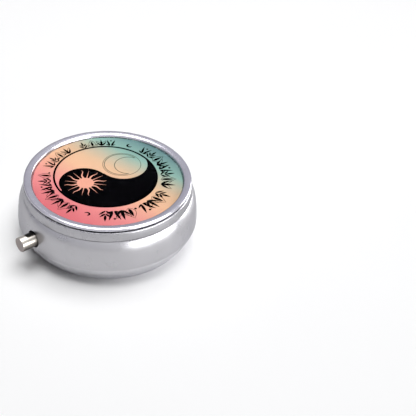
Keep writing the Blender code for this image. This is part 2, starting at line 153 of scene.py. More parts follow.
def finish_mesh(name, work, sharp=SHARP):
    """Turns a bmesh in millimetres into an object with smooth shading and its hard edges kept."""
    bmesh.ops.recalc_face_normals(work, faces=work.faces)
    mesh = bpy.data.meshes.new(name)
    work.to_mesh(mesh)
    work.free()
    mesh.transform(Matrix.Scale(MM, 4))
    mesh.polygons.foreach_set("use_smooth", [True] * len(mesh.polygons))
    mesh.set_sharp_from_angle(angle=math.radians(sharp))
    obj = bpy.data.objects.new(name, mesh)
    bpy.context.scene.collection.objects.link(obj)
    return obj


AXES = {
    "Y": Matrix(((1, 0, 0), (0, 0, 1), (0, -1, 0))),
    "Z": Matrix.Identity(3),
}


def turned(name, profile, along="Z", centre=(0, 0, 0), sides=ROUND, sharp=SHARP):
    """Revolves a (radius, height) profile about an axis through centre."""
    work = bmesh.new()
    turn, shift = AXES[along], Vector(centre)
    rings = []
    for radius, height in profile:
        if radius < 1e-6:
            rings.append([work.verts.new(turn @ Vector((0, 0, height)) + shift)] * sides)
            continue
        ring = []
        for k in range(sides):
            angle = 2 * math.pi * k / sides
            point = Vector((radius * math.cos(angle), radius * math.sin(angle), height))
            ring.append(work.verts.new(turn @ point + shift))
        rings.append(ring)
    for a, b in zip(rings, rings[1:] + rings[:1]):
        for k in range(sides):
            n = (k + 1) % sides
            corners = list(dict.fromkeys((a[k], a[n], b[n], b[k])))
            if len(corners) > 2:
                work.faces.new(corners)
    return finish_mesh(name, work, sharp)


def inset(outline, distance):
    """A closed outline moved inward by distance along its own normals; negative moves it out."""
    turn = sum(a[0] * b[1] - b[0] * a[1] for a, b in zip(outline, outline[1:] + outline[:1]))
    side = math.copysign(distance, turn)
    out = []
    for k, (x, y) in enumerate(outline):
        before, after = outline[k - 1], outline[(k + 1) % len(outline)]
        dx, dy = after[0] - before[0], after[1] - before[1]
        length = math.hypot(dx, dy)
        out.append((x - side * dy / length, y + side * dx / length))
    return out


def lofted(name, outline, levels):
    """A solid with a section at each (height, inset) level of the outline."""
    work = bmesh.new()
    rings = [[work.verts.new((*point, height)) for point in inset(outline, distance)]
             for height, distance in levels]
    work.faces.new(rings[0])
    work.faces.new(rings[-1])
    for low, high in zip(rings, rings[1:]):
        bridge(work, low, high)
    return finish_mesh(name, work)


def rounded(corners, steps=6):
    """A closed outline from (x, y, fillet radius) corners; a radius of 0 keeps the point."""
    out = []
    for k, (x, y, radius) in enumerate(corners):
        if not radius:
            out.append((x, y))
            continue
        ax, ay = corners[k - 1][0] - x, corners[k - 1][1] - y
        following = corners[(k + 1) % len(corners)]
        bx, by = following[0] - x, following[1] - y
        la, lb = math.hypot(ax, ay), math.hypot(bx, by)
        half = 0.5 * math.acos((ax * bx + ay * by) / (la * lb))
        reach = radius / math.tan(half)
        start = (x + ax / la * reach, y + ay / la * reach)
        end = (x + bx / lb * reach, y + by / lb * reach)
        out += eased(start, (x, y), end, steps)
    return out


def cut(target, *cutters):
    """Cuts the cutters out of target for good, and removes them."""
    for cutter in cutters:
        modifier = target.modifiers.new("cut", "BOOLEAN")
        modifier.operation = "DIFFERENCE"
        modifier.solver = "EXACT"
        modifier.object = cutter
    bpy.context.view_layer.update()
    evaluated = target.evaluated_get(bpy.context.evaluated_depsgraph_get())
    mesh = bpy.data.meshes.new_from_object(evaluated)
    target.modifiers.clear()
    target.data = mesh
    mesh.set_sharp_from_angle(angle=math.radians(SHARP))
    for cutter in cutters:
        bpy.data.objects.remove(cutter, do_unlink=True)
    return target


def block(x, y, z):
    """A cutter box that fills the (low, high) span given on each axis."""
    outline = [(x[0], y[0]), (x[1], y[0]), (x[1], y[1]), (x[0], y[1])]
    return lofted("cutter", outline, [(height, 0) for height in z])


def paint(obj, material):
    obj.data.materials.clear()
    obj.data.materials.append(material)
    return obj


def piece(obj, body, material, slot, *nodes):
    """Gives a new piece its material and body and hides the CAD nodes that it stands for; slot is not used.
    """
    paint(obj, material)
    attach(obj, body)
    if nodes:
        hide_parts(*nodes)
    return obj


# ---------------------------------------------------------------- material helpers
def set_stops(ramp_node, stops):
    """Gives a colour ramp its (position, colour) stops."""
    elements = ramp_node.color_ramp.elements
    while len(elements) < len(stops):
        elements.new(0.5)
    for element, (position, colour) in zip(elements, stops):
        element.position = position
        element.color = (*colour, 1.0)


class Shader:
    """A material's node tree with short ways to add and join nodes."""

    def __init__(self, name):
        self.material = bpy.data.materials.new(name)
        self.material.use_nodes = True
        self.tree = self.material.node_tree
        self.surface = self.tree.nodes["Principled BSDF"]
        coordinates = self.tree.nodes.new("ShaderNodeTexCoord")
        self.place = coordinates.outputs["Object"]

    def node(self, kind, **settings):
        made = self.tree.nodes.new("ShaderNode" + kind)
        for key, value in settings.items():
            setattr(made, key, value)
        return made

    def join(self, output, socket):
        self.tree.links.new(output, socket)

    def feed(self, socket, value):
        if isinstance(value, bpy.types.NodeSocket):
            self.join(value, socket)
        else:
            socket.default_value = value

    def math(self, operation, a, b=0.0, c=0.0):
        made = self.node("Math", operation=operation)
        for socket, value in zip(made.inputs, (a, b, c)):
            self.feed(socket, value)
        return made.outputs[0]

    def noise(self, size_mm, detail=3.0, rough=0.55, stretch=(1, 1, 1)):
        """Noise whose features are about size_mm across, from 0 to 1."""
        mapping = self.node("Mapping")
        self.join(self.place, mapping.inputs["Vector"])
        mapping.inputs["Scale"].default_value = [s / (size_mm * MM) for s in stretch]
        made = self.node("TexNoise")
        self.join(mapping.outputs[0], made.inputs["Vector"])
        made.inputs["Scale"].default_value = 1.0
        made.inputs["Detail"].default_value = detail
        made.inputs["Roughness"].default_value = rough
        return made.outputs["Fac"]

    def ramp(self, factor, *stops):
        """A colour ramp of (position, colour) stops."""
        made = self.node("ValToRGB")
        set_stops(made, stops)
        self.feed(made.inputs[0], factor)
        return made.outputs["Color"]

    def range(self, value, low, high, from_low=0.0, from_high=1.0):
        made = self.node("MapRange")
        for key, number in (("From Min", from_low), ("From Max", from_high),
                            ("To Min", low), ("To Max", high)):
            made.inputs[key].default_value = number
        self.feed(made.inputs["Value"], value)
        return made.outputs[0]

    def bump(self, height, strength, depth_mm):
        made = self.node("Bump")
        made.inputs["Strength"].default_value = strength
        made.inputs["Distance"].default_value = depth_mm * MM
        self.feed(made.inputs["Height"], height)
        self.join(made.outputs[0], self.surface.inputs["Normal"])

    def axes(self):
        """The X, Y and Z of each point of the object."""
        split = self.node("SeparateXYZ")
        self.join(self.place, split.inputs[0])
        return split.outputs

    def multiplied(self, colour, factor):
        mix = self.node("Mix", data_type="RGBA", blend_type="MULTIPLY")
        mix.inputs["Factor"].default_value = 1.0
        self.join(colour, mix.inputs["A"])
        self.join(factor, mix.inputs["B"])
        return mix.outputs["Result"]

    def wander(self, cloud, fine, low, high):
        """A value from low to high that drifts with the cloud and flickers with the fine grain."""
        blend = self.math("ADD", self.math("MULTIPLY", cloud, 0.6), self.math("MULTIPLY", fine, 0.4))
        return self.range(blend, low, high, 0.3, 0.7)

    def set(self, **values):
        for key, value in values.items():
            self.feed(self.surface.inputs[key.replace("_", " ")], value)


WALL_TONE = (0.45, 0.445, 0.465)
EDGE_TINT = (0.62, 0.62, 0.64)  # tints the metal where it is seen at a grazing angle
# lighter colour of the bevel below the lower crease: a painted reflection of bright floor, which the shadowed
# floor beneath the bevel does not give
BEVEL_PAINTED_REFLECTION = (0.78, 0.775, 0.80)


def shade(colour, factor):
    return tuple(min(1.0, c * factor) for c in colour)


def plated(name, colour, roughness, spread=0.06, grain_mm=0.25, grain=0.05, stretch=(1, 1, 1)):
    """Nickel-plated metal: faint clouding, fine grain and a roughness that wanders."""
    shader = Shader(name)
    cloud = shader.noise(5.0, 3.0)
    fine = shader.noise(grain_mm, 4.0, 0.6, stretch)
    base = shader.ramp(cloud, (0.3, shade(colour, 0.955)), (0.7, shade(colour, 1.03)))
    shader.set(Base_Color=base, Metallic=1.0, Specular_Tint=(*EDGE_TINT, 1.0),
               Roughness=shader.wander(cloud, fine, roughness - spread, roughness + spread))
    shader.bump(fine, grain, 0.02)
    return shader.material


def base_nickel(name):
    """The base's satin plating, made lighter on the bevel below the lower crease by a painted reflection."""
    shader = Shader(name)
    cloud = shader.noise(5.0, 3.0)
    fine = shader.noise(0.25, 4.0, 0.6)
    height = shader.math("DIVIDE", shader.axes()["Z"], 10 * MM)
    # the wall tone above the lower crease, and the lighter colour of the painted reflection on the bevel
    # below it
    tone_with_painted_bevel = shader.ramp(height, (0.0, BEVEL_PAINTED_REFLECTION), (0.25, BEVEL_PAINTED_REFLECTION), (0.5, shade(BEVEL_PAINTED_REFLECTION, 0.86)),
                       (0.56, WALL_TONE))
    clouding = shader.ramp(cloud, (0.3, (0.96, 0.96, 0.96)), (0.7, (1, 1, 1)))
    rough = shader.math("ADD", shader.wander(cloud, fine, -0.05, 0.05),
                        shader.range(height, 0.42, 0.3, 0.48, 0.54))
    shader.set(Base_Color=shader.multiplied(tone_with_painted_bevel, clouding), Metallic=1.0,
               Specular_Tint=(*EDGE_TINT, 1.0), Roughness=rough)
    shader.bump(fine, 0.05, 0.02)
    return shader.material


PAINTED_REFLECTION_SIDE = (-0.42, 0, 0.91)  # the way the side with the painted dark reflection faces


def nickel_with_painted_reflection(name):
    """The button's polish, with a painted dark reflection on top near the wall and painted shade, browner, on
    its underside.
    """
    shader = Shader(name)
    axes = shader.axes()
    # painted dark reflection of the hole in the wall: patchy, on the upper side, growing toward the wall
    reflection_patches = shader.noise(1.6, 2.0)
    reach = shader.range(axes["Y"], 0.0, 1.0, (BUTTON_TIP_Y + 1.0) * MM, (BUTTON_TIP_Y + 2.6) * MM)
    top = shader.node("VectorMath", operation="DOT_PRODUCT")
    shader.join(shader.place, top.inputs[0])
    top.inputs[1].default_value = PAINTED_REFLECTION_SIDE
    axis = PAINTED_REFLECTION_SIDE[2] * BUTTON_Z
    lift = shader.range(top.outputs["Value"], -0.3, 0.55,
                        (axis + 0.4 * BUTTON_RADIUS) * MM, (axis + BUTTON_RADIUS) * MM)
    painted_dark_reflection = shader.math("MULTIPLY", reach, shader.math("ADD", reflection_patches, lift))
    # painted shade: the underside darker and browner than the top, where the floor's shadow would be mirrored
    painted_shade_height = shader.range(axes["Z"], 0.0, 1.0, (BUTTON_Z - BUTTON_RADIUS) * MM,
                         (BUTTON_Z + 0.5 * BUTTON_RADIUS) * MM)
    polish_with_painted_underside_shade = shader.ramp(painted_shade_height, (0.25, (0.20, 0.17, 0.15)), (0.85, (0.46, 0.43, 0.385)))
    mixed = shader.node("MixRGB")
    shader.feed(mixed.inputs["Fac"], shader.range(painted_dark_reflection, 0.0, 1.0, 0.5, 0.64))
    shader.feed(mixed.inputs["Color1"], polish_with_painted_underside_shade)
    # near-black of the painted dark reflection
    mixed.inputs["Color2"].default_value = (0.012, 0.011, 0.01, 1)
    fine = shader.noise(0.3, 3.0)
    shader.set(Base_Color=mixed.outputs[0], Metallic=1.0, Roughness=shader.range(fine, 0.27, 0.34))
    shader.bump(fine, 0.02, 0.02)
    return shader.material


def plastic(name, colour, roughness, grain_mm=0.4, grain=0.08):
    """Moulded plastic with a faint orange-peel skin."""
    shader = Shader(name)
    cloud = shader.noise(7.0, 2.0)
    fine = shader.noise(grain_mm, 2.0)
    base = shader.ramp(cloud, (0.3, shade(colour, 0.97)), (0.7, shade(colour, 1.02)))
    shader.set(Base_Color=base, Roughness=shader.range(fine, roughness - 0.05, roughness + 0.05))
    shader.bump(fine, grain, 0.02)
    return shader.material


def clear_plastic(name):
    """A clear pane that neither bends nor mirrors, and dims the lamps' light a little on its way through."""
    shader = Shader(name)
    haze = shader.noise(9.0, 2.0)
    shader.set(Base_Color=(0.99, 0.99, 0.985, 1.0), Roughness=shader.range(haze, 0.02, 0.05),
               IOR=1.0)
    shader.surface.inputs["Transmission Weight"].default_value = 1.0
    through = shader.node("BsdfTransparent")
    through.inputs["Color"].default_value = (0.86, 0.86, 0.86, 1.0)
    path = shader.node("LightPath")
    mix = shader.node("MixShader")
    shader.join(path.outputs["Is Shadow Ray"], mix.inputs[0])
    shader.join(shader.surface.outputs[0], mix.inputs[1])
    shader.join(through.outputs[0], mix.inputs[2])
    output = shader.tree.nodes["Material Output"]
    shader.join(mix.outputs[0], output.inputs["Surface"])
    return shader.material


PRINT_LEAN = math.radians(14)  # how far the print's blend turns away from the Y axis


def printed_gradient(name, radius_mm):
    """The card's blend from teal by the hinge through sand to coral by the button."""
    shader = Shader(name)
    axes = shader.axes()
    level = shader.math("ADD", shader.math("MULTIPLY", axes["Y"], math.cos(PRINT_LEAN)),
                        shader.math("MULTIPLY", axes["X"], -math.sin(PRINT_LEAN)))
    drift = shader.math("MULTIPLY", shader.math("SUBTRACT", shader.noise(9.0, 2.0), 0.5), 1.5 * MM)
    level = shader.range(shader.math("ADD", level, drift), 0.0, 1.0,
                         -radius_mm * MM, radius_mm * MM)
    blend = shader.ramp(level, *((place, shade(colour, PRINT_DENSITY))
                                 for place, colour in PRINT_BLEND))
    speck = shader.ramp(shader.noise(0.12, 2.0), (0.3, (0.95, 0.95, 0.95)), (0.7, (1, 1, 1)))
    shader.set(Base_Color=shader.multiplied(blend, speck), Roughness=0.5)
    shader.surface.inputs["Specular IOR Level"].default_value = 0.05
    return shader.material


def ink(name, colour, roughness=0.5):
    shader = Shader(name)
    speck = shader.noise(0.15, 2.0)
    shader.set(Base_Color=shader.ramp(speck, (0.3, shade(colour, 0.92)), (0.7, shade(colour, 1.08))),
               Roughness=roughness)
    shader.surface.inputs["Specular IOR Level"].default_value = 0.0
    return shader.material


def linear(red, green, blue):
    """Linear colour from the usual 0 to 255 display values."""
    return tuple(((v / 255 + 0.055) / 1.055) ** 2.4 if v > 10 else v / 255 / 12.92
                 for v in (red, green, blue))


CORAL, ROSE = linear(215, 105, 115), linear(235, 145, 145)
SAND, PALE_SAND = linear(240, 190, 155), linear(230, 190, 155)
SEA_GREEN, DEEP_TEAL = linear(145, 185, 175), linear(105, 140, 145)
PRINT_BLEND = ((0.0, CORAL), (0.25, ROSE), (0.5, SAND), (0.62, PALE_SAND), (0.82, SEA_GREEN),
               (1.0, DEEP_TEAL))
PRINT_DENSITY = 0.5  # factor on the print's colours, so that the lamps don't wash them out
SUN_INK = shade(linear(240, 172, 150), PRINT_DENSITY)
LINE_INK = linear(66, 72, 62)
BLACK_INK = (0.0012, 0.0012, 0.0016)

SATIN = base_nickel("satin_nickel_look")
BAND = plated("band_nickel_look", (0.405, 0.40, 0.42), 0.27)
BEZEL = plated("bezel_nickel_look", (0.56, 0.55, 0.60), 0.175, 0.03)
BOTTOM = plated("bottom_nickel_look", (0.56, 0.555, 0.59), 0.27, 0.05, 0.3, 0.08)
POLISHED = nickel_with_painted_reflection("polished_nickel_look")
# a darker, browner metal for the button's end face
BUTTON_END_FACE = plated("button_end_face_look", (0.30, 0.265, 0.25), 0.3, 0.05, 0.15, 0.1)
LINER = plated("liner_metal_look", (0.66, 0.65, 0.64), 0.2, 0.05, 0.3, 0.05)
ZINC = plated("zinc_steel_look", (0.45, 0.45, 0.46), 0.36, 0.08, 0.5, 0.12)
WIRE = plated("spring_steel_look", (0.30, 0.30, 0.31), 0.32, 0.06, 0.2, 0.08)
TRAY = plastic("tray_plastic_look", (0.80, 0.80, 0.785), 0.36)
CLEAR = clear_plastic("clear_cover_look")


# ---------------------------------------------------------------- the base
SEAM = 0.14  # visible gap between base and lid
FOOT_RADIUS = 21.9
LOWER_CREASE_Z = 5.2
UPPER_CREASE_Z = 10.3
UPPER_CREASE_RADIUS = 24.7
HOLE_RADIUS = 2.45
FLOOR_UNDER_Z, FLOOR_TOP_Z = 0.8, 1.4  # faces of the shell's floor
INNER_FOOT = ((22.25, 1.75), (21.75, FLOOR_TOP_Z))  # where the chamfer's inside meets that floor
HINGE_SLOT = ((-5.3, 5.3), (21, 27), (HINGE[2] - 1.3, HINGE[2] + 1.25))  # spans on X, Y and Z


def base_shell():
    plate_edge = PLATE_HIGH[0] + 0.2
    skirt = softened([(plate_edge, 0.5), (plate_edge, 0.0), (FOOT_RADIUS, 0.0)], 0.14)
    chamfer = bulge((FOOT_RADIUS + 0.1, 0.05), (BODY_RADIUS - 0.05, LOWER_CREASE_Z - 0.12), 0.3, 14)
    wall = bulge((BODY_RADIUS, LOWER_CREASE_Z + 0.1), (UPPER_CREASE_RADIUS, UPPER_CREASE_Z - 0.06),
                 0.07, 8)
    rim_z = RIM_Z + 0.3 - SEAM
    shoulder = bulge((UPPER_CREASE_RADIUS - 0.02, UPPER_CREASE_Z + 0.06),
                     (RIM_RADIUS + 0.02, rim_z - 0.12), 0.22, 12)
    inside = [(RIM_RADIUS - 0.1, rim_z), (RIM_RADIUS - 0.5, rim_z), (RIM_RADIUS - 0.6, rim_z - 0.15),
              (RIM_RADIUS - 0.6, RIM_Z - 0.4), (RIM_RADIUS, UPPER_CREASE_Z + 1.8),
              (UPPER_CREASE_RADIUS - 0.7, UPPER_CREASE_Z), (BODY_RADIUS - 0.7, LOWER_CREASE_Z + 0.2),
              (BODY_RADIUS - 1.2, LOWER_CREASE_Z - 0.8), *INNER_FOOT, (0, FLOOR_TOP_Z)]
    outline = [(0, FLOOR_UNDER_Z), (plate_edge, FLOOR_UNDER_Z)] + skirt + chamfer + wall + shoulder + inside
    shell = turned("base_body", outline)
    hole = turned("cutter", [(0, -27), (HOLE_RADIUS, -27), (HOLE_RADIUS, -20), (0, -20)], "Y",
                  (0, 0, BUTTON_Z), SMALL_ROUND)
    cut(shell, hole, block(*HINGE_SLOT))
    piece(shell, "base", SATIN, "satin_nickel", "base_shell")


DIMPLE_PITCH = 2.1
DIMPLE_DEPTH = 0.13


def bottom_plate():
    """A disc whose underside carries a square lattice of stamped diamonds in a plain border."""
    radius, high, low = PLATE_HIGH[0] + 0.08, PLATE_HIGH[2], 0.03
    work = bmesh.new()
    corners, boundary = {}, {}

    def corner(i, j):
        if (i, j) not in corners:
            corners[i, j] = work.verts.new((i * DIMPLE_PITCH, j * DIMPLE_PITCH, low))
        return corners[i, j]

    reach = math.ceil(radius / DIMPLE_PITCH)
    half = DIMPLE_PITCH / 2
    for i in range(-reach, reach):
        for j in range(-reach, reach):
            x, y = (i + 0.5) * DIMPLE_PITCH, (j + 0.5) * DIMPLE_PITCH
            if math.hypot(abs(x) + half, abs(y) + half) > radius - 0.9:
                continue
            square = [corner(i, j), corner(i + 1, j), corner(i + 1, j + 1), corner(i, j + 1)]
            for a, b in zip(square, square[1:] + square[:1]):
                key = frozenset((a, b))
                boundary[key] = boundary.get(key, 0) + 1
            stamped_cell(work, square, x, y, low)
    edges = [work.edges.get(tuple(key)) for key, count in boundary.items() if count == 1]
    rims = []
    for ring_radius, z in ((radius - 0.25, low), (radius - 0.08, low + 0.03), (radius, low + 0.12),
                           (radius, high)):
        rims.append([work.verts.new((*point, z)) for point in circle((0, 0), ring_radius, ROUND)])
    for a, b in zip(rims, rims[1:]):
        bridge(work, a, b)
    work.faces.new(rims[-1])
    edges += [work.edges.get((rims[0][k], rims[0][(k + 1) % ROUND])) for k in range(ROUND)]
    bmesh.ops.triangle_fill(work, use_beauty=True, use_dissolve=False, edges=edges)
    piece(finish_mesh("bottom_disc", work, 12), "base", BOTTOM, "bottom_metal", "bottom_plate")


def stamped_cell(work, square, x, y, low):
    """One lattice cell: a diamond dimple with a small raised diamond left in its middle."""
    levels = ((0.62, low), (0.46, low + DIMPLE_DEPTH), (0.26, low + DIMPLE_DEPTH), (0.12, low + 0.04))
    rings = []
    for size, z in levels:
        rings.append([work.verts.new((x + size * dx, y + size * dy, z))
                      for dx, dy in ((0, -1), (1, 0), (0, 1), (-1, 0))])
    for a, b in zip(rings, rings[1:]):
        bridge(work, a, b)
    work.faces.new(rings[-1])
    for k in range(4):
        n = (k + 1) % 4
        work.faces.new((square[k], square[n], rings[0][k]))
        work.faces.new((square[n], rings[0][n], rings[0][k]))


# ---------------------------------------------------------------- the compartment tray
TRAY_RADIUS = 21.3
POCKET_REACH = 20.4
POCKET_FLOOR_Z = 2.6
NOTCH_HALF_WIDTH = 3.9
NOTCH_BACK_Y = -14.8
HALF_DIVIDER = 0.5
EASE = 7  # degrees of the pocket wall given to each corner fillet


def pocket_cutter(name, outline, top):
    """A pocket with a rolled lip, sides that lean in slightly and a rounded floor corner."""
    corner = 0.5
    levels = [(POCKET_FLOOR_Z + corner * (1 - math.cos(a)), 0.2 + corner * (1 - math.sin(a)))
              for a in (math.radians(d) for d in range(0, 91, 15))]
    levels += [(top - 0.3, 0.0), (top - 0.12, -0.06), (top, -0.25), (top + 1, -0.25)]
    return lofted(name, outline, levels)


def pill_tray():
    low, top = TRAY_LOW[2], TRAY_HIGH[2]
    edge = math.degrees(math.asin(NOTCH_HALF_WIDTH / TRAY_RADIUS))
    rim = [(x, y, 0) for x, y in arc((0, 0), TRAY_RADIUS, -90 + edge, 270 - edge, ROUND)]
    notch = [(-NOTCH_HALF_WIDTH, NOTCH_BACK_Y, 0.8), (NOTCH_HALF_WIDTH, NOTCH_BACK_Y, 0.8)]
    tray = lofted("pill_insert", rounded(rim + notch),
                  ((low, 0.3), (low + 0.3, 0.0), (top - 0.2, 0.0), (top - 0.06, 0.06), (top, 0.2)))
    lean = math.degrees(math.asin(HALF_DIVIDER / POCKET_REACH))
    span = (30 + lean, 150 - lean)
    first, last = arc((0, 0), POCKET_REACH, *span, 1)
    back = [(*first, 1.2)]
    back += [(x, y, 0) for x, y in arc((0, 0), POCKET_REACH, span[0] + EASE, span[1] - EASE, 40)]
    back += [(*last, 1.2), (0, HALF_DIVIDER / math.cos(math.radians(30)), 2.5)]
    cut(tray, pocket_cutter("cutter", rounded(back), top))
    wall_x = NOTCH_HALF_WIDTH + TRAY_RADIUS - POCKET_REACH
    wall_y = NOTCH_BACK_Y + TRAY_RADIUS - POCKET_REACH
    start = -90 + math.degrees(math.asin(wall_x / POCKET_REACH))
    for side in (1, -1):
        first, last = arc((0, 0), POCKET_REACH, start, 30 - lean, 1)
        curve = arc((0, 0), POCKET_REACH, start + EASE, 30 - lean - EASE, 40)
        shape = [(*first, 1.2)] + [(x, y, 0) for x, y in curve] + [(*last, 1.2)]
        shape += [(HALF_DIVIDER, -HALF_DIVIDER * math.tan(math.radians(30)), 2.5),
                  (HALF_DIVIDER, wall_y, 1.5), (wall_x, wall_y, 0.8)]
        outline = [(side * x, y) for x, y in rounded(shape)]
        cut(tray, pocket_cutter("cutter", outline, top))
    piece(tray, "base", TRAY, "tray_plastic", "pill_tray")


# ---------------------------------------------------------------- the lid
LID_SKIN = 0.5
PAN_RADIUS = 20.85


def lid_shell():
    low, top = LID_LOW[2], LID_HIGH[2]
    pan = COVER_LOW[2] - 0.7
    outer = [(RIM_RADIUS - 0.5, low), (RIM_RADIUS - 0.1, low), (RIM_RADIUS, low + 0.1)]
    outer += bulge((RIM_RADIUS, low + 0.3), (BEZEL_RADIUS + 0.08, top - 0.45), 0.05, 6)
    outer += arc((BEZEL_RADIUS - 0.3, top - 0.45), 0.38, 0, 90, 6)
    inner = [(PAN_RADIUS + 0.15, top), (PAN_RADIUS, pan), (0, pan), (0, pan - LID_SKIN)]
    inner += softened([(0.5, pan - LID_SKIN), (RIM_RADIUS - 0.65, pan - LID_SKIN),
                       (RIM_RADIUS - 0.65, low + 0.2)], 0.6)
    shell = turned("lid_band", outer + inner + [(RIM_RADIUS - 0.6, low + 0.05)])
    cut(shell, block(*HINGE_SLOT))
    piece(shell, "lid", BAND, "satin_nickel", "lid_shell")


def bezel_ring():
    """A rolled ring: a tucked-in underside, a round outer bead, a flat crown and an inner bevel."""
    low, edge = BEZEL_LOW[2] - 0.05, BEZEL_RADIUS
    outline = [(20.95, low), (edge - 0.9, low)]
    outline += softened([(edge - 0.4, low + 0.02), (edge - 0.08, low + 0.15), (edge + 0.03, low + 0.52),
                         (edge - 0.11, TOP_Z - 0.16), (edge - 0.4, TOP_Z - 0.03), (edge - 0.85, TOP_Z + 0.01),
                         (edge - 1.45, TOP_Z - 0.07), (edge - 2.1, TOP_Z - 0.21),
                         (edge - 2.3, TOP_Z - 0.72)], 0.26, 6)
    outline += [(edge - 2.34, TOP_Z - 0.9)]
    piece(turned("bezel", outline, sharp=50), "lid", BEZEL, "bezel_nickel", "bezel_ring")


def lid_liner():
    """The bright sheet seen inside the open lid, with a pressed step and a rolled edge."""
    low, high, radius = LINER_LOW[2], LINER_HIGH[2], LINER_HIGH[0]
    face = low + 0.02
    outline = [(0, face)] + softened([(radius - 2.4, face), (radius - 2.0, face + 0.16),
                                      (radius - 0.7, face + 0.16), (radius - 0.3, face - 0.02),
                                      (radius, face + 0.15), (radius, high)], 0.3, 4)
    outline += [(radius - 0.5, high), (0, high)]
    piece(turned("lid_lining", outline), "lid", LINER, "lining_metal", "lid_liner")


# ---------------------------------------------------------------- the printed card
CARD_RADIUS = 20.7
CARD_Z = COVER_LOW[2] - 0.12  # top of the card
INK = 0.012  # thickness of one layer of ink
INK_LIFT = 0.004  # gap between the card and the first layer
EMBLEM = (-2.1, 0.6)  # centre of the ring, off the card's middle
RING_RADIUS = 14.15
RING_WIDTH = 0.58
HALF_CENTRE, HALF_RADIUS = (-1.67, 0.8), 14.2  # outer edge of the emblem's dark part
HEAD, LOBE, SWIRL_RADIUS = (-2.9, -6.05), (-3.6, 7.85), 6.85
SUN, MOON = (-2.55, -5.8), (-3.8, 7.55)
BORDER_EDGE = 19.9
BORDER_PARTS = 42
CURL_PARTS = (4, 25)
BARE_PARTS = (3, 5, 10, 15, 24, 26, 31, 36)
SUN_DISC = 2.35
SUN_REACH = 6.0
SUN_RAYS = 16
WAVY_RAY, STRAIGHT_RAY = (SUN_REACH, 0.29, 0.34), (SUN_REACH - 0.2, 0.14, 0)  # reach, half width, wave
WAVE_TURN = 6.0  # how far a wavy ray goes through its bend, in radians
CRESCENT, CRESCENT_TURN, CRESCENT_LINE = (4.9, 4.0, 2.0), 40, 0.2
MOON_RING_RADIUS, MOON_RING_LINE = 5.35, 0.15
CURL_SIZE, CURL_LINE = 0.6, 0.55


def ink_level(layer):
    """The height of a layer's underside: each layer starts two thicknesses above the one below."""
    return CARD_Z + layer * 2 * INK + INK_LIFT


def lay(work, outline, layer):
    """Adds one closed flat shape of ink on the given layer above the card."""
    low = ink_level(layer)
    rings = [[work.verts.new((*point, z)) for point in outline] for z in (low, low + INK)]
    work.faces.new(rings[0])
    work.faces.new(rings[1])
    bridge(work, *rings)


def lay_line(work, path, width, layer, taper=False):
    """Adds a closed line of ink along a closed path, or an open one with pointed ends."""
    low = ink_level(layer)
    count = len(path)
    sections = []
    for k, (x, y) in enumerate(path):
        before = path[max(k - 1, 0)] if taper else path[k - 1]
        after = path[min(k + 1, count - 1)] if taper else path[(k + 1) % count]
        dx, dy = after[0] - before[0], after[1] - before[1]
        length = math.hypot(dx, dy)
        half = width / 2
        if taper:
            half *= 0.12 + 0.88 * math.sin(math.pi * k / (count - 1)) ** 0.6
        nx, ny = -dy / length * half, dx / length * half
        sections.append([work.verts.new(p) for p in (
            (x + nx, y + ny, low), (x - nx, y - ny, low),
            (x - nx, y - ny, low + INK), (x + nx, y + ny, low + INK))])
    pairs = list(zip(sections, sections[1:]))
    if taper:
        work.faces.new(sections[0])
        work.faces.new(sections[-1])
    else:
        pairs.append((sections[-1], sections[0]))
    for a, b in pairs:
        bridge(work, a, b)


def around(centre, outline, angle=0.0, scale=1.0):
    """An outline scaled, turned by angle in degrees and moved to centre."""
    c, s = math.cos(math.radians(angle)), math.sin(math.radians(angle))
    return [(centre[0] + scale * (c * x - s * y), centre[1] + scale * (s * x + c * y))
            for x, y in outline]


def leaf(length, width, steps=6):
    """A pointed leaf from the origin along +X, its belly nearer the stem."""
    upper = [(length * t, 0.5 * width * math.sin(math.pi * t ** 0.75))
             for t in (k / steps for k in range(steps + 1))]
    return upper + [(x, -y) for x, y in upper[-2:0:-1]]


def dark_half():
    """The emblem's dark part: a full head toward -Y and a tail that thins out toward +Y."""
    outline = arc(HALF_CENTRE, HALF_RADIUS, 95, -97, 96)
    outline += arc(HEAD, SWIRL_RADIUS, 264, 93, 48)
    outline += arc(LOBE, SWIRL_RADIUS, -87, 84, 48)
    return outline


def crescent(outer, inner, shift):
    """The outline of a crescent left by a smaller disc shifted toward +X."""
    x = (outer ** 2 - inner ** 2 + shift ** 2) / (2 * shift)
    a = math.degrees(math.acos(x / outer))
    b = math.degrees(math.acos((x - shift) / inner))
    return arc((0, 0), outer, a, 360 - a, 48)[:-1] + arc((shift, 0), inner, 360 - b, b, 40)[:-1]


def flame(reach, half, wave):
    """One ray of the sun along +X, from just inside the disc out to reach; wave bends it."""
    start, steps = SUN_DISC - 0.2, 14
    spine = []
    for k in range(steps + 1):
        t = k / steps
        bend = wave * math.sin(WAVE_TURN * t) * (0.35 + t)
        spine.append((start + (reach - start) * t, bend, half * (1 - t) ** 0.8))
    return [(x, y + w) for x, y, w in spine] + [(x, y - w) for x, y, w in spine[-2::-1]]


def print_piece(name, work, look):
    return piece(finish_mesh(name, work), "lid", look, "printed_card")


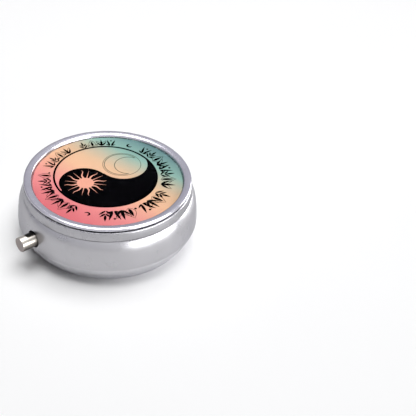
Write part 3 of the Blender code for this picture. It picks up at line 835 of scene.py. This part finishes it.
def printed_disc():
    outline = [(0, CARD_Z - 0.2), (CARD_RADIUS, CARD_Z - 0.2), (CARD_RADIUS, CARD_Z), (0, CARD_Z)]
    piece(turned("print_card", outline), "lid", printed_gradient("print_gradient_look", CARD_RADIUS),
          "printed_card", "print_disc")
    black = ink("black_ink_look", BLACK_INK, 0.4)

    emblem = bmesh.new()
    lay(emblem, dark_half(), 0)
    lay_line(emblem, circle(EMBLEM, RING_RADIUS, ROUND), RING_WIDTH, 1)
    print_piece("print_emblem", emblem, black)

    sun = bmesh.new()
    lay(sun, circle(SUN, SUN_DISC, 48), 1)
    for k in range(SUN_RAYS):
        ray = flame(*(WAVY_RAY if k % 2 else STRAIGHT_RAY))
        lay(sun, around(SUN, ray, 360 * k / SUN_RAYS), 2)
    print_piece("print_sun", sun, ink("sun_ink_look", SUN_INK))

    moon = bmesh.new()
    lay_line(moon, around(MOON, crescent(*CRESCENT), CRESCENT_TURN), CRESCENT_LINE, 1)
    lay_line(moon, circle(MOON, MOON_RING_RADIUS, 96), MOON_RING_LINE, 0)
    print_piece("print_moon", moon, ink("line_ink_look", LINE_INK))
    print_border(black)


def print_border(look):
    """A ring of leaf motifs between the emblem and the rim, parted by gaps and two curls."""
    border = bmesh.new()
    for k in range(BORDER_PARTS):
        angle = 270 + 360 * k / BORDER_PARTS
        ray = Vector((math.cos(math.radians(angle)), math.sin(math.radians(angle))))
        offset = Vector(EMBLEM)
        along = ray.dot(offset)
        near = along + math.sqrt(along ** 2 + (RING_RADIUS + RING_WIDTH / 2) ** 2 - offset.length ** 2)
        room = BORDER_EDGE - near
        middle = ray * (near + room / 2)
        if k in CURL_PARTS:
            lay_line(border, around(middle, spiral(CURL_SIZE), angle), CURL_LINE, 0, taper=True)
        elif k not in BARE_PARTS:
            motif(border, middle, angle, 0.16 * room + 1.1, k)
    print_piece("print_border", border, look)


def spiral(size):
    """An open curl that winds out to about size from its middle."""
    return [(size * (0.4 + 0.28 * t) * math.cos(t), size * (0.4 + 0.28 * t) * math.sin(t))
            for t in (4.4 * j / 14 for j in range(15))]


def motif(work, middle, angle, size, number):
    """A small plant sign, 2 size tall and alike on both sides of its stem, of one of four kinds."""
    def place(outline, turn=0.0, at=(0, 0)):
        root = around(middle, [(size * at[0], size * at[1])], angle)[0]
        return around(root, outline, angle + turn, size)

    fine = 0.13
    seed = circle((0, 0), 0.16, 12)
    kind = number % 4
    if kind == 0:
        lay(work, place(leaf(2.0, 0.4), 0, (-1, 0)), 0)
        for side in (-1, 1):
            lay(work, place(leaf(1.4, 0.33), side * 37, (-0.9, side * 0.06)), 1)
            lay_line(work, place(leaf(1.35, 0.46), side * 37, (-0.55, side * 0.1)), fine, 2)
    elif kind == 1:
        lay_line(work, place(leaf(2.0, 1.2), 0, (-1, 0)), fine, 0)
        lay(work, place(leaf(1.6, 0.44), 0, (-0.9, 0)), 1)
        for side in (-1, 1):
            lay(work, place(seed, 0, (-0.6, side * 0.75)), 0)
    elif kind == 2:
        lay(work, place(leaf(1.2, 0.34), 0, (-0.2, 0)), 0)
        for side in (-1, 1):
            for x, length in ((-1.0, 1.15), (-0.45, 0.95)):
                lay(work, place(leaf(length, 0.29), side * 44, (x, 0)), 1)
    else:
        for side in (-1, 1):
            lay(work, place(leaf(1.9, 0.36), side * 20, (-0.95, side * 0.08)), 0)
            lay(work, place(leaf(0.9, 0.26), side * 62, (-0.9, side * 0.08)), 1)
        lay(work, place(seed, 0, (0.55, 0)), 1)


def clear_cover():
    low = COVER_LOW[2]
    edge, rim, crown = CARD_RADIUS + 0.05, low + 0.2, COVER_HIGH[2]
    outline = [(0, low), (edge, low), (edge, rim - 0.14), (edge - 0.05, rim - 0.05),
               (edge - 0.16, rim)]
    steps = 14
    for k in range(1, steps + 1):
        radius = (edge - 0.16) * math.cos(math.radians(90 * k / steps))
        lift = 1 - (radius / edge) ** 2
        outline.append((radius if k < steps else 0.0, rim + (crown - rim) * lift))
    piece(turned("clear_dome", outline), "lid", CLEAR, "clear_cover", "clear_cover")


# ---------------------------------------------------------------- the button
HEAD_END_Y = -22.9
CLIP_GROOVE_Y = (-22.5, -22.0)  # the groove that holds the retaining clip
COLLAR_END_Y = -21.15
STEM_END_Y = -17.0
COLLAR_RADIUS, CLIP_GROOVE_RADIUS, STEM_RADIUS = 1.2, 0.8, 0.7


def button():
    radius, tip = BUTTON_RADIUS, BUTTON_TIP_Y
    outline = [(0, tip)] + softened([(radius - 0.5, tip), (radius, tip), (radius, tip + 0.6)], 0.14)
    outline += [(radius, HEAD_END_Y), (COLLAR_RADIUS, HEAD_END_Y), (COLLAR_RADIUS, CLIP_GROOVE_Y[0])]
    outline += [(CLIP_GROOVE_RADIUS, y) for y in CLIP_GROOVE_Y]
    outline += [(COLLAR_RADIUS, CLIP_GROOVE_Y[1]), (COLLAR_RADIUS, COLLAR_END_Y),
                (STEM_RADIUS, COLLAR_END_Y), (STEM_RADIUS, STEM_END_Y), (STEM_RADIUS - 0.1, STEM_END_Y + 0.1),
                (0, STEM_END_Y + 0.1)]
    plunger = turned("push_button", outline, "Y", (0, 0, BUTTON_Z), SMALL_ROUND)
    piece(plunger, "button", POLISHED, "polished_nickel", "button_plunger")
    plunger.data.materials.append(BUTTON_END_FACE)
    for face in plunger.data.polygons:
        if face.center.y < (tip + 0.005) * MM:
            face.material_index = 1


COIL_WIRE = 0.17  # radius of the spring wire
COIL_TURNS = 5
COIL_STEPS = 20
WIRE_SIDES = 8
CLOSED_PITCH = 0.37
OPEN_PITCH = (SPRING_HIGH[1] - SPRING_LOW[1] - 2 * COIL_WIRE - 2 * CLOSED_PITCH) / (COIL_TURNS - 2)


def helix_place(turns):
    """How far along the button spring's axis its wire has got: the end turns lie closed."""
    closed = min(turns, 1) + max(turns - COIL_TURNS + 1, 0)
    return closed * CLOSED_PITCH + (turns - closed) * OPEN_PITCH


def button_spring():
    reach = SPRING_HIGH[0] - COIL_WIRE
    low = Vector((0, SPRING_LOW[1] + COIL_WIRE, BUTTON_Z))
    work = bmesh.new()
    rings = []
    for k in range(COIL_TURNS * COIL_STEPS + 1):
        turns = k / COIL_STEPS
        angle = 2 * math.pi * turns
        out = Vector((math.cos(angle), 0, math.sin(angle)))
        middle = low + reach * out + Vector((0, helix_place(turns), 0))
        ring = []
        for n in range(WIRE_SIDES):
            around_wire = 2 * math.pi * n / WIRE_SIDES
            offset = math.cos(around_wire) * out + Vector((0, math.sin(around_wire), 0))
            ring.append(work.verts.new(middle + COIL_WIRE * offset))
        rings.append(ring)
    work.faces.new(rings[0])
    work.faces.new(rings[-1])
    for a, b in zip(rings, rings[1:]):
        bridge(work, a, b)
    spring = finish_mesh("coil_spring", work)
    piece(spring, "base", WIRE, "spring_steel", "button_spring")
    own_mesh(spring)


# ---------------------------------------------------------------- CAD nodes that keep their shape
def carried_nodes():
    for name in ("button_guide", "latch_bracket", "bracket_rivet_1", "bracket_rivet_2", "hinge_pin",
                 "hinge_base_leaf", "hinge_lid_leaf", "latch_hook", "lid_catch", "lid_rivet_1",
                 "lid_rivet_2", "lid_rivet_3", "lid_rivet_4"):
        paint(NODES[name], ZINC)
    for name in ("hinge_spring", "retaining_clip"):
        paint(NODES[name], WIRE)


# ---------------------------------------------------------------- stage
FLOOR_HALF = 3000


def stage():
    work = bmesh.new()
    bmesh.ops.create_grid(work, x_segments=1, y_segments=1, size=FLOOR_HALF)
    floor = finish_mesh("floor", work)
    shader = Shader("floor_look")
    cloud = shader.noise(60.0, 2.0)
    shader.set(Base_Color=shader.ramp(cloud, (0.3, (0.95, 0.95, 0.955)), (0.7, (0.96, 0.96, 0.965))),
               Roughness=0.8)
    shader.surface.inputs["Specular IOR Level"].default_value = 0.1
    paint(floor, shader.material)


def area_light(name, place, width, height, power):
    """A rectangular lamp, its power in watts, that faces the middle of the view."""
    light = bpy.data.lights.new(name, "AREA")
    light.shape = "RECTANGLE"
    light.size, light.size_y = width * MM, height * MM
    light.energy = power
    obj = bpy.data.objects.new(name, light)
    obj.location = place * MM
    obj.rotation_euler = (Vector(VIEW_CENTRE) - place).to_track_quat("-Z", "Y").to_euler()
    bpy.context.scene.collection.objects.link(obj)
    return obj


CAMERA_AZIMUTH, CAMERA_ELEVATION, CAMERA_DISTANCE = 54.0, 37.54, 343.0
VIEW_CENTRE = (0, 0, 8.5)
SENSOR, LENS = 36.0, 105.5
SWING, TILT = -4.69, -0.163  # how far the camera turns from the box's middle, in degrees


def seen_from(azimuth, elevation, distance):
    """A place that far from the view centre; azimuth 0 is in front of the button."""
    a, e = math.radians(azimuth), math.radians(elevation)
    toward = Vector((math.sin(a) * math.cos(e), -math.cos(a) * math.cos(e), math.sin(e)))
    return Vector(VIEW_CENTRE) + toward * distance


def camera():
    data = bpy.data.cameras.new("camera")
    data.sensor_width = SENSOR
    data.lens = LENS
    data.clip_start, data.clip_end = 0.01, 20
    obj = bpy.data.objects.new("camera", data)
    place = seen_from(CAMERA_AZIMUTH, CAMERA_ELEVATION, CAMERA_DISTANCE)
    look = (Vector(VIEW_CENTRE) - place).to_track_quat("-Z", "Y").to_matrix()
    swing = Matrix.Rotation(math.radians(SWING), 3, "Y")
    tilt = Matrix.Rotation(math.radians(TILT), 3, "X")
    obj.matrix_world = Matrix.Translation(place * MM) @ (look @ swing @ tilt).to_4x4()
    bpy.context.scene.collection.objects.link(obj)
    bpy.context.scene.camera = obj


TENT_TONES = ((0.0, (0.28, 0.28, 0.31)), (0.15, (0.60, 0.60, 0.66)), (0.38, (0.76, 0.76, 0.82)),
              (0.85, (0.97, 0.97, 1.0)))
METAL_STRENGTH, MATT_STRENGTH = 0.95, 0.03  # the world as mirrored or seen, and as it lights matt faces


def studio_walls():
    """The world: a pale tent, brightest behind the camera's right shoulder and dim beyond the box.

    It lights matt surfaces less than it shows in the metal, so the shadow on the floor stays deep.
    """
    world = bpy.data.worlds.new("studio")
    bpy.context.scene.world = world
    world.use_nodes = True
    tree = world.node_tree
    background = tree.nodes["Background"]
    direction = tree.nodes.new("ShaderNodeTexCoord")
    bright_side = (seen_from(CAMERA_AZIMUTH + 40, 20, 1) - Vector(VIEW_CENTRE)).normalized()
    dot = tree.nodes.new("ShaderNodeVectorMath")
    dot.operation = "DOT_PRODUCT"
    dot.inputs[1].default_value = bright_side
    tree.links.new(direction.outputs["Generated"], dot.inputs[0])
    spread = tree.nodes.new("ShaderNodeMapRange")
    spread.inputs["From Min"].default_value = -1.0
    tree.links.new(dot.outputs["Value"], spread.inputs["Value"])
    ramp = tree.nodes.new("ShaderNodeValToRGB")
    tree.links.new(spread.outputs[0], ramp.inputs[0])
    set_stops(ramp, TENT_TONES)
    tree.links.new(ramp.outputs[0], background.inputs["Color"])
    path = tree.nodes.new("ShaderNodeLightPath")
    strength = tree.nodes.new("ShaderNodeMapRange")
    strength.inputs["To Min"].default_value = METAL_STRENGTH
    strength.inputs["To Max"].default_value = MATT_STRENGTH
    tree.links.new(path.outputs["Diffuse Depth"], strength.inputs["Value"])
    tree.links.new(strength.outputs[0], background.inputs["Strength"])


def lighting():
    studio_walls()
    area_light("overhead", seen_from(CAMERA_AZIMUTH + 155, 82, 620), 560, 560, 4.9)
    cards = (area_light("right_front", seen_from(CAMERA_AZIMUTH + 55, 8, 260), 260, 130, 0.85),
             area_light("right_back", seen_from(CAMERA_AZIMUTH + 118, 8, 300), 180, 140, 0.7))
    for card in cards:
        card.visible_diffuse = False
    bpy.context.scene.view_settings.view_transform = "Standard"


def build():
    base_shell()
    bottom_plate()
    pill_tray()
    lid_shell()
    bezel_ring()
    lid_liner()
    printed_disc()
    clear_cover()
    button()
    button_spring()
    carried_nodes()
    stage()
    camera()
    lighting()


build()
